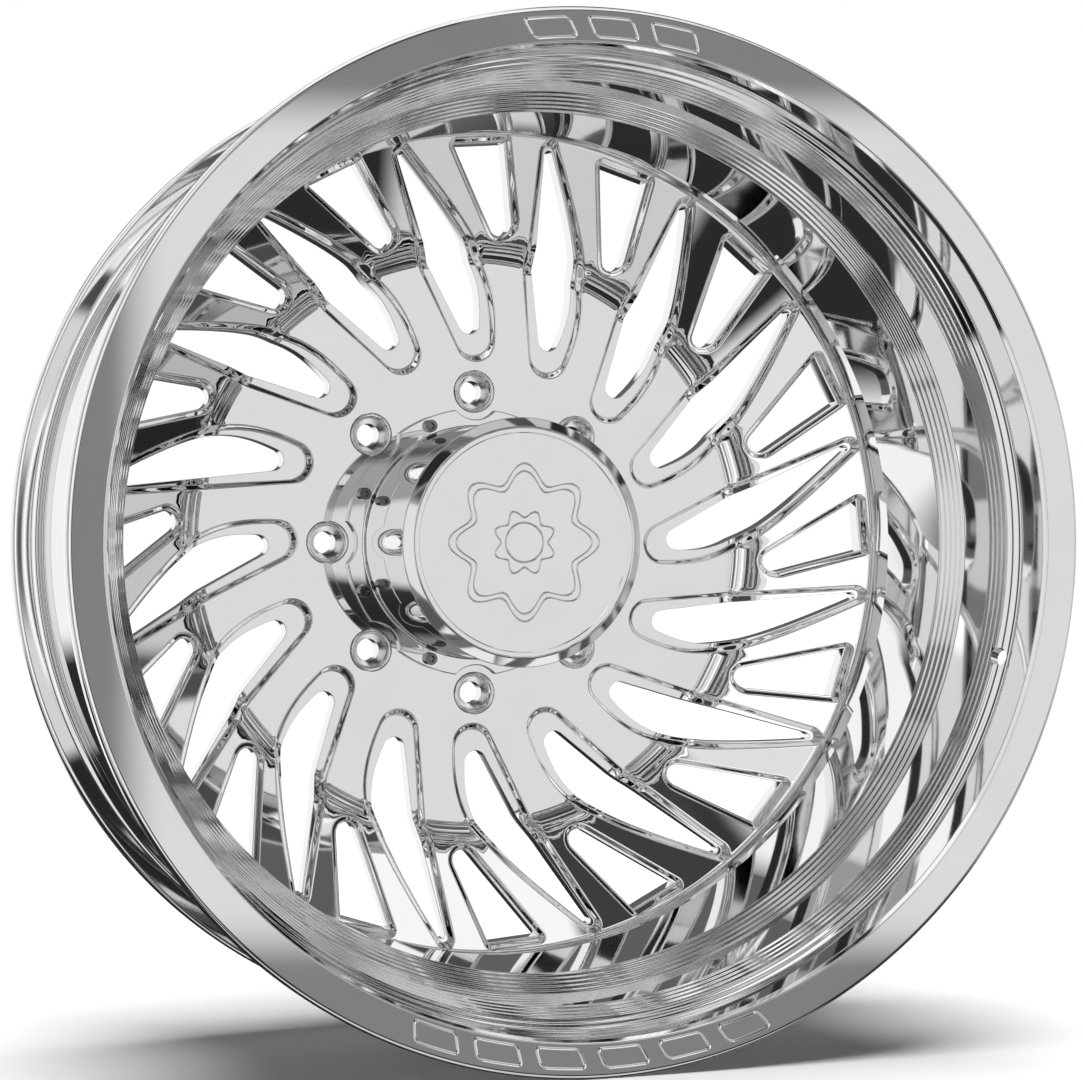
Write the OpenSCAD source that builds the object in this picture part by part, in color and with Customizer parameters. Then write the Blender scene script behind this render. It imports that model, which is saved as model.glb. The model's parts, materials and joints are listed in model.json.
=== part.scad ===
// Deep-dish forged wheel for the outer position of a dual rear axle.
// Every shape is drawn about the local Z axis, with the mounting face at Z = 0 and the
// street side upwards. Each part is then laid over, so that the street side faces -Y.

/* [Rim] */
// Outside diameter over the tyre flanges
flange_d = 649; // [640:1:660]
// Width between the two tyre flanges
rim_w = 209.6; // [200:0.1:220]
// Thickness of each tyre flange
flange_t = 13; // [11:0.5:14]
// Diameter of the tyre bead seats at the flange
bead_d = 614.4; // [606:0.1:618]
// Inside diameter of the barrel between its front steps and the disc
barrel_d = 549; // [546:1:552]
// Diameter of the tyre valve hole
valve_d = 11.3; // [9:0.1:15.7]
// Angle of the valve hole round the wheel
valve_angle = -14.5; // [-20:0.5:20]

/* [Centre disc] */
// Depth of the central pad below the lip
dish = 264; // [258:1:270]
// Thickness of the central pad
pad_t = 22; // [20:1:26]
// Diameter of the flat central pad
pad_d = 391; // [385:1:395]
// Diameter of the hub bore
bore_d = 154.2; // [150:0.1:158]
// Diameter of the machined mounting face on the back
mount_face_d = 268; // [260:1:276]
// Number of long windows
window_n = 16; // [8:1:16]
// Depth of the ledge round each window
ledge_depth = 4.6; // [2:0.1:6]

/* [Lug holes] */
// Pitch circle of the lug holes
lug_pcd = 210; // [205:1:215]
// Number of lug holes
lug_n = 8; // [8:1:8]
// Diameter of the hole that a wheel stud passes through
stud_hole_d = 15.5; // [14.5:0.1:17]
// Outside diameter of a pressed-in lug seat at its collar
seat_d = 29; // [27:0.5:31]

/* [Centre cap] */
// Height of the cap above the pad
cap_h = 113; // [95:1:120]
// Outside diameter of the cap's tube
tube_d = 159.6; // [158:0.1:161]
// Wall of the cap's tube
tube_wall = 1.6; // [1.4:0.1:2]
// Outside diameter of the cap's base between its scallops
base_d = 186; // [184:0.5:190]
// Radius of each scallop round a lug hole
scallop_r = 19.5; // [18:0.5:20.5]
// Diameter of the circle of cap screws
screw_pcd = 174; // [172:0.5:175]
// Outside diameter of the lid's bezel
lid_d = 165; // [163:0.5:167]

/* [Hidden] */

flange_r = flange_d / 2;
bead_r = bead_d / 2;
wall_r = barrel_d / 2;
lip_z = pad_t + dish;
rear_z = lip_z - rim_w - 2 * flange_t;
// The disc's ring drops into a counterbore from behind, up to this shoulder
shoulder_z = pad_t + 91;
seat_r = wall_r + 7.5;
seat_end_z = shoulder_z - 29;
ring_r = wall_r + 3.5;
pad_r = pad_d / 2;
// Rise of the step at the pad's edge, and the foot and head of the spokes' slope
step_rise = 16;
slope_r = pad_r + 14;
slope_angle = 32;
slope_end_r = ring_r - 6;
lug_r = lug_pcd / 2;
stud_r = stud_hole_d / 2;
tube_r = tube_d / 2;
base_t = 4;
lid_t = 8;
lid_face_t = 2.5;
lid_seat_z = pad_t + cap_h - lid_t;
spigot_depth = 9;
spigot_r = tube_r - tube_wall - 0.4;
// M5 socket-head screws
screw_r = 2.5;
screw_head_r = 4.25;
screw_head_h = 5;
screw_len = 12;
hex_across_corners = 4.6;
// Radial gap round a screw's shank, in the disc and in the cap's base
thread_gap = 0.05;
base_gap = 0.25;
round_fn = 96;
small_fn = 32;
curve_steps = 9;

// Height of the disc's front at radius r on the spokes' slope
function slope_z(r) = pad_t + step_rise + (r - slope_r) * tan(slope_angle);

// Points on an arc from angle a to angle b
function arc(c, r, a, b, n) =
    [for (i = [0:n]) c + r * [cos(a + (b - a) * i / n), sin(a + (b - a) * i / n)]];

// Points inside a cubic curve, without its two ends
function curve(p, q, s, e) =
    [for (i = [1:curve_steps - 1]) let (t = i / curve_steps)
        pow(1 - t, 3) * p + 3 * t * pow(1 - t, 2) * q + 3 * t * t * (1 - t) * s + pow(t, 3) * e];

// A long window: a round inner tip, a nearly straight leading side, a small round outer
// tip, and a trailing side that bulges
function window_points(tip, tip_r, end, end_r, pull, push) =
    let (lead = atan2(end[1] - tip[1], end[0] - tip[0]) - asin((tip_r - end_r) / norm(end - tip)),
         from = tip + tip_r * [cos(-95), sin(-95)],
         to = end + end_r * [cos(-41), sin(-41)])
    concat(arc(end, end_r, -41, lead + 90, 4),
           arc(tip, tip_r, lead + 90, 265, 6),
           curve(from, from + pull * [1, -0.05], to - push * [cos(49), sin(49)], to));

// A small window: three round corners joined by straight sides, taken anticlockwise
function corner_points(c) =
    [for (i = [0:2]) let (here = c[i], next = c[(i + 1) % 3], last = c[(i + 2) % 3])
        each arc([here[0], here[1]], here[2], side_angle(last, here), turn_to(last, here, next), 4)];
function side_angle(a, b) =
    atan2(b[1] - a[1], b[0] - a[0]) - 90
    + asin((a[2] - b[2]) / norm([b[0] - a[0], b[1] - a[1]]));
function turn_to(last, here, next) =
    let (a = side_angle(last, here), b = side_angle(here, next)) b < a ? b + 360 : b;

window_out = window_points([140.6, -1], 14.3, [260.8, 67.8], 6.8, 55, 80);
window_in = window_points([153, 2.3], 7.6, [259.6, 66.3], 2.5, 40, 78);
small_c = [[219.7, -13.6, 11.6], [271.2, -5.2, 4.5], [268.4, 29.5, 4.3]];
small_out = corner_points(small_c);
small_in = corner_points([for (c = small_c) [c[0], c[1], c[2] - 4]]);

module lathe(points) rotate_extrude($fn = round_fn) polygon(points);

module ring_of(n, first = 0) for (i = [0:n - 1]) rotate(first + i * 360 / n) children();

module laid_over() rotate([90, 0, 0]) children();

// Everything at or above the disc's front surface, lowered by a depth
module above_front(depth) lathe([
    [bore_d / 2 + 20, pad_t - depth], [pad_r, pad_t - depth],
    [slope_r, pad_t + step_rise - depth],
    [seat_r + 20, slope_z(seat_r + 20) - depth],
    [seat_r + 20, lip_z], [bore_d / 2 + 20, lip_z]]);

module prism(points, low, high) translate([0, 0, low]) linear_extrude(high - low) polygon(points);

module barrel() color("gainsboro") laid_over() difference() {
    lathe([
        // front flange, from the lip's inner edge outwards
        [flange_r - 22, lip_z], [flange_r - 4, lip_z], [flange_r - 1, lip_z - 1.2],
        [flange_r, lip_z - 4], [flange_r, lip_z - 7], [flange_r - 1, lip_z - 10.5],
        [flange_r - 4, lip_z - flange_t + 0.5], [flange_r - 9, lip_z - flange_t],
        [bead_r + 4, lip_z - flange_t - 2], [bead_r, lip_z - flange_t - 6.5],
        // bead seat and hump
        [bead_r - 1.2, lip_z - flange_t - 19.5], [bead_r - 0.4, lip_z - flange_t - 21.5],
        [bead_r - 0.4, lip_z - flange_t - 24], [bead_r - 3.6, lip_z - flange_t - 27.5],
        // down into the well
        [wall_r + 20, lip_z - 58], [wall_r + 17.5, lip_z - 81], [wall_r + 10.5, lip_z - 97],
        [wall_r + 10.5, shoulder_z + 14],
        // up to the back hump and bead seat
        [wall_r + 13.5, shoulder_z + 5], [wall_r + 24, shoulder_z - 13],
        [bead_r - 3.6, rear_z + flange_t + 27.5], [bead_r - 0.4, rear_z + flange_t + 24],
        [bead_r - 0.4, rear_z + flange_t + 21.5], [bead_r - 1.2, rear_z + flange_t + 19.5],
        [bead_r, rear_z + flange_t + 6.5],
        // back flange
        [bead_r + 4, rear_z + flange_t + 2], [flange_r - 9, rear_z + flange_t],
        [flange_r - 4, rear_z + flange_t - 0.5], [flange_r - 1, rear_z + 10.5],
        [flange_r, rear_z + 7], [flange_r, rear_z + 4], [flange_r - 1, rear_z + 1.2],
        [flange_r - 4, rear_z], [flange_r - 21, rear_z], [flange_r - 24, rear_z + 3],
        [flange_r - 25.5, rear_z + 15], [seat_r + 6, seat_end_z - 4],
        // counterbore for the disc's ring, and the shoulder that it stops against
        [seat_r, seat_end_z], [seat_r, shoulder_z], [wall_r - 0.9, shoulder_z],
        // inside wall, steps and front wall
        [wall_r, lip_z - 97], [wall_r + 11.1, lip_z - 81], [wall_r + 13, lip_z - 50.4],
        [wall_r + 19.4, lip_z - 37.3], [flange_r - 24.5, lip_z - 29], [flange_r - 24, lip_z - 3]]);
    // valve hole, square to the sloping step
    rotate(valve_angle) translate([wall_r + 21, 0, lip_z - 35.3]) rotate([0, 124.8, 0])
        translate([0, 0, -20]) cylinder(d = valve_d, h = 45, $fn = small_fn);
}

module disc_blank() lathe([
    [bore_d / 2, 0], [mount_face_d / 2, 0], [mount_face_d / 2 + 3, 2.5],
    [pad_r + 1, 2.5], [slope_r + 2, pad_t - 2],
    [slope_end_r - 4, slope_z(slope_end_r - 4) - 18],
    [ring_r + 1, shoulder_z - 51], [seat_r - 1.2, seat_end_z - 8], [seat_r, seat_end_z - 4],
    [seat_r, shoulder_z], [ring_r - 1, shoulder_z], [ring_r - 1.8, shoulder_z - 0.8],
    [ring_r, slope_z(ring_r) + 6], [ring_r - 1.8, slope_z(ring_r) + 1.6],
    [slope_end_r, slope_z(slope_end_r)], [slope_r, pad_t + step_rise],
    [pad_r, pad_t], [bore_d / 2, pad_t]]);

module centre_disc() color("silver") laid_over() difference() {
    disc_blank();
    // ledges
    intersection() {
        above_front(ledge_depth);
        ring_of(window_n) union() {
            prism(window_out, 0, lip_z);
            prism(small_out, 0, lip_z);
        }
    }
    // openings right through
    ring_of(window_n) {
        prism(window_in, -1, lip_z);
        prism(small_in, -1, lip_z);
    }
    // stepped holes for the lug seats
    ring_of(lug_n) translate([lug_r, 0, 0]) {
        translate([0, 0, -1]) cylinder(r = seat_d / 2 - 2.5, h = pad_t, $fn = small_fn);
        translate([0, 0, 8]) cylinder(d = seat_d, h = pad_t, $fn = small_fn);
    }
    // tapped holes for the cap screws
    ring_of(lug_n, 180 / lug_n) translate([screw_pcd / 2, 0, pad_t + base_t - screw_len - 1])
        cylinder(r = screw_r + thread_gap, h = pad_t, $fn = small_fn);
}

module weld_bead() color("darkgray") laid_over() lathe([
    [seat_r, seat_end_z], [seat_r + 6, seat_end_z - 4], [seat_r + 4.4, seat_end_z - 6.6],
    [seat_r - 1.2, seat_end_z - 8], [seat_r, seat_end_z - 4]]);

// A steel sleeve with a collar, a stud hole and a cone seat
module lug_seat(number) color("lightgray") laid_over() rotate((number - 1) * 360 / lug_n)
    translate([lug_r, 0, 0]) rotate_extrude($fn = small_fn) polygon([
        [stud_r, 0.5], [seat_d / 2 - 2.5, 0.5], [seat_d / 2 - 2.5, 8], [seat_d / 2, 8],
        [seat_d / 2, pad_t + 0.4], [seat_d / 2 - 1, pad_t + 1.2], [seat_d / 2 - 2.2, pad_t + 0.8],
        [stud_r + 4.6, pad_t - 0.5], [stud_r, pad_t - 8.5]]);

module cap_body() color("gainsboro") laid_over() difference() {
    union() {
        translate([0, 0, pad_t]) cylinder(d = base_d, h = base_t, $fn = round_fn);
        lathe([
            [tube_r - tube_wall, pad_t], [tube_r + 2.6, pad_t], [tube_r + 2.6, pad_t + base_t],
            [tube_r + 0.8, pad_t + base_t + 0.8], [tube_r, pad_t + base_t + 3],
            [tube_r, lid_seat_z], [tube_r - tube_wall, lid_seat_z]]);
    }
    translate([0, 0, pad_t - 1]) cylinder(r = tube_r - tube_wall, h = cap_h, $fn = round_fn);
    ring_of(lug_n) translate([lug_r, 0, pad_t - 1])
        cylinder(r = scallop_r, h = base_t + 2, $fn = small_fn * 2);
    ring_of(lug_n, 180 / lug_n) translate([screw_pcd / 2, 0, pad_t - 1])
        cylinder(r = screw_r + base_gap, h = base_t + 2, $fn = small_fn);
}

// A hollow lid with a chamfered bezel, a step round its face and a spigot with a seal groove
module cap_lid() color("silver") laid_over() {
    z = lid_seat_z;
    rim_r = lid_d / 2;
    face_z = z + lid_t - 1;
    lathe([
        [0, face_z - lid_face_t], [spigot_r - 3, face_z - lid_face_t],
        [spigot_r - 3, z - spigot_depth], [spigot_r, z - spigot_depth],
        [spigot_r, z - 6.2], [spigot_r - 1.8, z - 6.2], [spigot_r - 1.8, z - 3.8],
        [spigot_r, z - 3.8], [spigot_r, z], [rim_r - 0.6, z], [rim_r, z + 0.6],
        [rim_r, z + 3.2], [rim_r - 0.6, z + 4.2], [rim_r - 5.9, z + lid_t - 0.2],
        [rim_r - 6.7, z + lid_t], [rim_r - 7.3, face_z + 0.4], [rim_r - 10, face_z + 0.4],
        [rim_r - 10.5, face_z], [0, face_z]]);
}

module lid_o_ring() color("black") laid_over()
    translate([0, 0, lid_seat_z - 5]) rotate_extrude($fn = round_fn)
        translate([spigot_r - 0.8, 0]) circle(r = 0.95, $fn = small_fn);

module cap_screw(number) color("dimgray") laid_over()
    rotate((number - 0.5) * 360 / lug_n) translate([screw_pcd / 2, 0, pad_t + base_t])
        difference() {
            union() {
                cylinder(r = screw_head_r, h = screw_head_h, $fn = small_fn);
                translate([0, 0, -screw_len]) cylinder(r = screw_r, h = screw_len, $fn = small_fn);
            }
            translate([0, 0, screw_head_h - 2.5])
                cylinder(d = hex_across_corners, h = 3, $fn = 6);
        }

barrel();
centre_disc();
weld_bead();
lug_seat(1);  // lug_seat_1
lug_seat(2);  // lug_seat_2
lug_seat(3);  // lug_seat_3
lug_seat(4);  // lug_seat_4
lug_seat(5);  // lug_seat_5
lug_seat(6);  // lug_seat_6
lug_seat(7);  // lug_seat_7
lug_seat(8);  // lug_seat_8
cap_body();
cap_lid();
lid_o_ring();
cap_screw(1);  // cap_screw_1
cap_screw(2);  // cap_screw_2
cap_screw(3);  // cap_screw_3
cap_screw(4);  // cap_screw_4
cap_screw(5);  // cap_screw_5
cap_screw(6);  // cap_screw_6
cap_screw(7);  // cap_screw_7
cap_screw(8);  // cap_screw_8
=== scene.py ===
import json
import math

import bpy
import numpy as np
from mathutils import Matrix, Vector
from mathutils.geometry import delaunay_2d_cdt


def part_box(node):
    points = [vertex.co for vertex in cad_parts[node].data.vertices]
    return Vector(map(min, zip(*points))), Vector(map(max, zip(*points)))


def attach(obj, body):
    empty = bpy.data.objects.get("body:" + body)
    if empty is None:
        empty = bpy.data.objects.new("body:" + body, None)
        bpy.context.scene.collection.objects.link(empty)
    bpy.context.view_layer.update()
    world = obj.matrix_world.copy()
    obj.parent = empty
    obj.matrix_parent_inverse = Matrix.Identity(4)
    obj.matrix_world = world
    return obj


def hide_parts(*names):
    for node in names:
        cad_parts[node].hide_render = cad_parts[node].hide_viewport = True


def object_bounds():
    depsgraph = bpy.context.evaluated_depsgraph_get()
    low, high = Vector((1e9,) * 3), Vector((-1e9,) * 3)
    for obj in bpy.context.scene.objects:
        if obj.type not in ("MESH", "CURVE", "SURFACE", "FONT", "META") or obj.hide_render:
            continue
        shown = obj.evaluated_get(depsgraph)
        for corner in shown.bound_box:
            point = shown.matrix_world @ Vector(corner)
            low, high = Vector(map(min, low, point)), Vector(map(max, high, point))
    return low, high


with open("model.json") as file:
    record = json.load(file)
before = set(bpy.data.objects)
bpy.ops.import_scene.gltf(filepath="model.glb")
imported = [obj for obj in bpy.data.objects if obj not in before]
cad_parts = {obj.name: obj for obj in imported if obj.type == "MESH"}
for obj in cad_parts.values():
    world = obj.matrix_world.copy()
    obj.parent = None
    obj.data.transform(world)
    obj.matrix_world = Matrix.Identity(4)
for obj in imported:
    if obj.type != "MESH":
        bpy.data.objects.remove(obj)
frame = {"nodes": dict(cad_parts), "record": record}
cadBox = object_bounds()
print("stage: frame loaded")

# The wheel's own coordinates are r and t in millimetres: r out from the axle, and t forwards
# from the mounting face. x and y lie across the wheel, as seen from the street side.
mm = 0.001
barrelLow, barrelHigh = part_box("barrel")
flangeR = min(barrelHigh[0], barrelHigh[2]) / mm
lipT = -barrelLow[1] / mm
rearT = -barrelHigh[1] / mm


def toRow(x, y, t):
    # wheel millimetres to the row's metres: the street side faces -Y and y becomes Z
    return np.stack([x * mm, -t * mm, y * mm], axis=-1)


joinWithin = 1.7e-6     # points nearer than this, in metres, are one


def addSurface(name, verts, faces, normals):
    # faces is a list of arrays, each with its own number of corners per row. Points in the same
    # place are joined, and every corner keeps the normal that it came with. A quad that loses
    # a corner, at a pole, becomes a triangle
    _, first, where = np.unique(np.round(verts / joinWithin).astype(np.int64), axis=0,
                                return_index=True, return_inverse=True)
    where = where.ravel()
    parts = []
    for f in faces:
        closed = where[f] == np.roll(where[f], -1, axis=1)
        lost = closed.sum(axis=1)
        parts.append(f[lost == 0])
        if f.shape[1] == 4:
            spare = closed[lost == 1].argmax(axis=1)[:, None]
            parts.append(np.take_along_axis(f[lost == 1], (spare + np.array([1, 2, 3])) % 4, axis=1))
    counts = np.concatenate([np.full(len(f), f.shape[1]) for f in parts])
    corners = np.concatenate([f.ravel() for f in parts])
    mesh = bpy.data.meshes.new(name)
    mesh.vertices.add(len(first))
    mesh.vertices.foreach_set("co", verts[first].astype(np.float32).ravel())
    mesh.loops.add(len(corners))
    mesh.loops.foreach_set("vertex_index", where[corners].astype(np.int32))
    mesh.polygons.add(len(counts))
    mesh.polygons.foreach_set("loop_start", (np.cumsum(counts) - counts).astype(np.int32))
    mesh.update(calc_edges=True)
    mesh.polygons.foreach_set("use_smooth", np.ones(len(counts), dtype=bool))
    mesh.normals_split_custom_set(normals[corners].astype(np.float32))
    piece = bpy.data.objects.new(name, mesh)
    bpy.context.scene.collection.objects.link(piece)
    return piece, first


def gridQuads(rows, cols, rowsClose=False, start=0):
    # quads of a grid of points stored row by row; each row is a closed ring, and rows that
    # close join the last ring to the first
    i, j = np.meshgrid(np.arange(rows if rowsClose else rows - 1), np.arange(cols), indexing="ij")
    ni, nj = (i + 1) % rows, (j + 1) % cols
    return start + np.stack([i * cols + j, i * cols + nj, ni * cols + nj, ni * cols + j],
                            axis=-1).reshape(-1, 4)


def roundedPath(corners, closed=True, steps=6):
    # each corner of a path (r, t, radius) becomes an arc that is tangent to both its sides;
    # returns the points and their unit normals: outwards from a closed path, and to the left
    # of the direction of travel on an open one
    c = np.array(corners, dtype=float)
    p, radius = c[:, :2], np.maximum(c[:, 2], 1e-3)
    last, following = np.roll(p, 1, axis=0), np.roll(p, -1, axis=0)
    inLen = np.linalg.norm(p - last, axis=1)
    outLen = np.linalg.norm(following - p, axis=1)
    a = (p - last) / np.maximum(inLen, 1e-9)[:, None]
    b = (following - p) / np.maximum(outLen, 1e-9)[:, None]
    turn = np.arctan2(a[:, 0] * b[:, 1] - a[:, 1] * b[:, 0], (a * b).sum(axis=1))
    reach = radius * np.tan(np.abs(turn) / 2)
    reach = np.minimum(reach, 0.49 * np.minimum(inLen, outLen))
    radius = reach / np.maximum(np.tan(np.abs(turn) / 2), 1e-9)
    side = np.sign(turn)[:, None]
    leftOf = np.stack([-a[:, 1], a[:, 0]], axis=1)
    centre = p - a * reach[:, None] + leftOf * side * radius[:, None]
    k = np.linspace(0, 1, steps + 1)[None, :]
    start = np.arctan2(a[:, 1], a[:, 0])[:, None]
    heading = start + turn[:, None] * k
    normal = np.stack([np.sin(heading), -np.cos(heading)], axis=-1)
    points = centre[:, None, :] + normal * (side * radius[:, None])[:, None, :]
    if not closed:
        normal[0] = [b[0, 1], -b[0, 0]]
        normal[-1] = [a[-1, 1], -a[-1, 0]]
        return (np.concatenate([p[:1], points[1:-1].reshape(-1, 2), p[-1:]]),
                -np.concatenate([normal[0, :1], normal[1:-1].reshape(-1, 2), normal[-1, :1]]))
    area = (p[:, 0] * following[:, 1] - following[:, 0] * p[:, 1]).sum()
    return points.reshape(-1, 2), normal.reshape(-1, 2) * np.sign(area)


ridgeSamples = 8        # points on each turned ridge


def ridges(p, q, n, pitch, height):
    # turned ridges on a straight stretch of a path from p to q: points lifted along the normal
    # by height (1 - cos 2 pi k s) / 2, and normals tilted by its slope
    length = np.linalg.norm(q - p)
    count = max(int(round(length / pitch)), 1)
    s = np.linspace(0, 1, count * ridgeSamples + 1)[1:-1]
    lift = height * (1 - np.cos(2 * np.pi * count * s)) / 2
    slope = np.pi * count / length * np.sin(2 * np.pi * count * s) * height
    newPoints = p + (q - p) * s[:, None] + n * lift[:, None]
    newNormals = n - (q - p) / length * slope[:, None]
    return newPoints, newNormals / np.linalg.norm(newNormals, axis=1)[:, None]


def turned(points, normals, cols, closed=True, centre=(0.0, 0.0)):
    # a path turned about the axle, or about a line parallel to it through centre
    angle = np.arange(cols) * 2 * np.pi / cols
    c, s = np.cos(angle)[None, :], np.sin(angle)[None, :]
    r, t = points[:, :1], points[:, 1:]
    verts = toRow(centre[0] + r * c, centre[1] + r * s, t + 0 * c).reshape(-1, 3)
    nr, nt = normals[:, :1], normals[:, 1:]
    norms = np.stack([nr * c, -(nt + 0 * c), nr * s], axis=-1).reshape(-1, 3)
    quads = gridQuads(len(points), cols, rowsClose=closed)
    return verts, quads, norms


def outwards(verts, faces, normals):
    # turns every face to the side that its corners' normals point to
    done = []
    for f in faces:
        a, b, c = verts[f[:, 0]], verts[f[:, 1]], verts[f[:, 2]]
        flat = np.cross(b - a, c - a)
        wrong = (flat * normals[f].sum(axis=1)).sum(axis=1) < 0
        f = f.copy()
        f[wrong] = f[wrong][:, ::-1]
        done.append(f)
    return done


def dress(piece, body, material, slot, *nodes):
    # gives a piece its material, the body it rides on and the CAD nodes it stands for
    piece.data.materials.clear()
    piece.data.materials.append(material)
    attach(piece, body)
    if nodes:
        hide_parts(*nodes)


# shader expressions
class Wire:
    # wraps a node's output, so that an expression on wires adds its Math nodes
    def __init__(self, tree, socket):
        self.tree, self.socket = tree, socket

    def maths(self, operation, *values):
        return self.tree.node("ShaderNodeMath", {"operation": operation}, list(values))

    def __add__(self, other): return self.maths("ADD", self, other)
    def __radd__(self, other): return self.maths("ADD", other, self)
    def __sub__(self, other): return self.maths("SUBTRACT", self, other)
    def __rsub__(self, other): return self.maths("SUBTRACT", other, self)
    def __mul__(self, other): return self.maths("MULTIPLY", self, other)
    def __rmul__(self, other): return self.maths("MULTIPLY", other, self)
    def __truediv__(self, other): return self.maths("DIVIDE", self, other)
    def __rtruediv__(self, other): return self.maths("DIVIDE", other, self)
    def __pow__(self, other): return self.maths("POWER", self, other)


class Tree:
    # an emptied node tree that nodes are added to
    def __init__(self, owner):
        owner.use_nodes = True
        self.nodes, self.links = owner.node_tree.nodes, owner.node_tree.links
        self.nodes.clear()

    def node(self, kind, settings=None, inputs=None, output=0):
        # settings are set first; inputs is a list, or a dictionary of socket names
        made = self.nodes.new(kind)
        for key, value in (settings or {}).items():
            setattr(made, key, value)
        pairs = inputs.items() if isinstance(inputs, dict) else enumerate(inputs or [])
        for key, value in pairs:
            if isinstance(value, Wire):
                self.links.new(value.socket, made.inputs[key])
            elif value is not None:
                made.inputs[key].default_value = value
        return Wire(self, made.outputs[output]) if len(made.outputs) else made


def grey(v):
    return (v, v, v, 1.0)


def lineAt(distance, width):
    # a groove of that width along distance = 0: 1 at its bottom and 0 outside it
    return distance.tree.node("ShaderNodeMapRange", {"interpolation_type": "SMOOTHSTEP"},
                              [distance.maths("ABSOLUTE", distance), 0.0, width / 2, 1.0, 0.0])


def slantedBars(radius, angle, cut):
    # how far a point is from the outline of the nearest bar in a row round the lip; a bar is a
    # box with rounded corners, in u along the circle and v out from its middle
    step = angle.maths("ROUND", (angle - cut["centre"]) / cut["pitch"] + (cut["count"] - 1) / 2)
    step = step.maths("MINIMUM", step.maths("MAXIMUM", step, 0.0), cut["count"] - 1.0)
    own = cut["centre"] + (step - (cut["count"] - 1) / 2) * cut["pitch"]
    v = radius - cut["middleR"]
    u = (angle - own) * (cut["middleR"] * math.pi / 180) - v * cut["slant"]
    qu = u.maths("ABSOLUTE", u) - (cut["halfWide"] - cut["corner"])
    qv = v.maths("ABSOLUTE", v) - (cut["halfHigh"] - cut["corner"])
    pu, pv = qu.maths("MAXIMUM", qu, 0.0), qv.maths("MAXIMUM", qv, 0.0)
    within = qu.maths("MINIMUM", qu.maths("MAXIMUM", qu, qv), 0.0)
    return (pu * pu + pv * pv) ** 0.5 + within - cut["corner"]


lipBars = dict(pitch=7.4, middleR=311.6, slant=0.45, halfWide=14.0, halfHigh=6.0, corner=3.0)
lidMark = dict(lobes=8, outer=(46.0, 6.0), outerIn=(41.5, 5.4), inner=(19.0, -2.6), ring=(13.0, 0.0))
lineWide = dict(lip=2.0, lid=1.5)       # the grooves' widths in millimetres
lipCuts = [dict(lipBars, centre=88.8, count=3), dict(lipBars, centre=-91.4, count=6)]


def polishedMetal(name, finish, cuts=None):
    # mirror-polished aluminium: a faint haze that follows the buffing, streaks that run round
    # the axle where the surface is ridged, and engraved lines where cuts asks for them
    mat = bpy.data.materials.new(name)
    tree = Tree(mat)
    place = tree.node("ShaderNodeTexCoord", output=3)
    split = tree.node("ShaderNodeSeparateXYZ", None, [place]).socket.node
    x, y, z = (Wire(tree, split.outputs[k]) for k in range(3))
    radius = (x * x + z * z) ** 0.5
    ridged = tree.node("ShaderNodeAttribute", {"attribute_name": "turned"}, output=2)
    # streaks: noise that is fine across the surface and long round it, on the circle's own plane
    round3 = tree.node("ShaderNodeCombineXYZ", None,
                       [x / radius * finish["markLong"], (radius + y) * finish["markFine"],
                        z / radius * finish["markLong"]])
    marks = tree.node("ShaderNodeTexNoise", None,
                      {"Vector": round3, "Scale": 1.0, "Detail": 2.0, "Roughness": 0.5})
    haze = tree.node("ShaderNodeTexNoise", None,
                     {"Vector": place, "Scale": finish["hazeScale"], "Detail": 3.0, "Roughness": 0.5})
    rough = (finish["rough"] + (haze - 0.5) * finish["hazeRough"]
             + (marks - 0.5) * (finish["markRough"] * ridged + finish["markAll"]))
    tint = tree.node("ShaderNodeMix", {"data_type": "RGBA"},
                     {0: haze, 6: finish["dark"], 7: finish["light"]}, output=2)
    height = marks * (ridged * finish["markHeight"]) + haze * finish["hazeHeight"]
    if cuts == "lip":
        angle = tree.node("ShaderNodeMath", {"operation": "ARCTAN2"}, [z, x]) * (180 / math.pi)
        rows = [slantedBars(radius / mm, angle, cut) for cut in lipCuts]
        nearest = rows[0].maths("MINIMUM", *rows)
        onFace = tree.node("ShaderNodeMath", {"operation": "LESS_THAN"}, [y, (1.0 - lipT) * mm])
        height = height - lineAt(nearest, lineWide["lip"]) * onFace * finish["cutDeep"]
    if cuts == "lid":
        angle = tree.node("ShaderNodeMath", {"operation": "ARCTAN2"}, [z, x])
        lobes = angle.maths("COSINE", angle * lidMark["lobes"])
        r, grooves = radius / mm, 0.0
        for line in ("outer", "outerIn", "inner", "ring"):
            middle, swing = lidMark[line]
            cut = lineAt(r - middle - lobes * swing, lineWide["lid"])
            grooves = cut.maths("MAXIMUM", grooves, cut)
        height = height - grooves * finish["cutDeep"]
    bump = tree.node("ShaderNodeBump", None, {"Strength": 1.0, "Distance": 1.0, "Height": height})
    shader = tree.node("ShaderNodeBsdfPrincipled", None,
                       {"Base Color": tint, "Metallic": 1.0, "Roughness": rough, "Normal": bump})
    tree.node("ShaderNodeOutputMaterial", None, [shader])
    return mat


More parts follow.
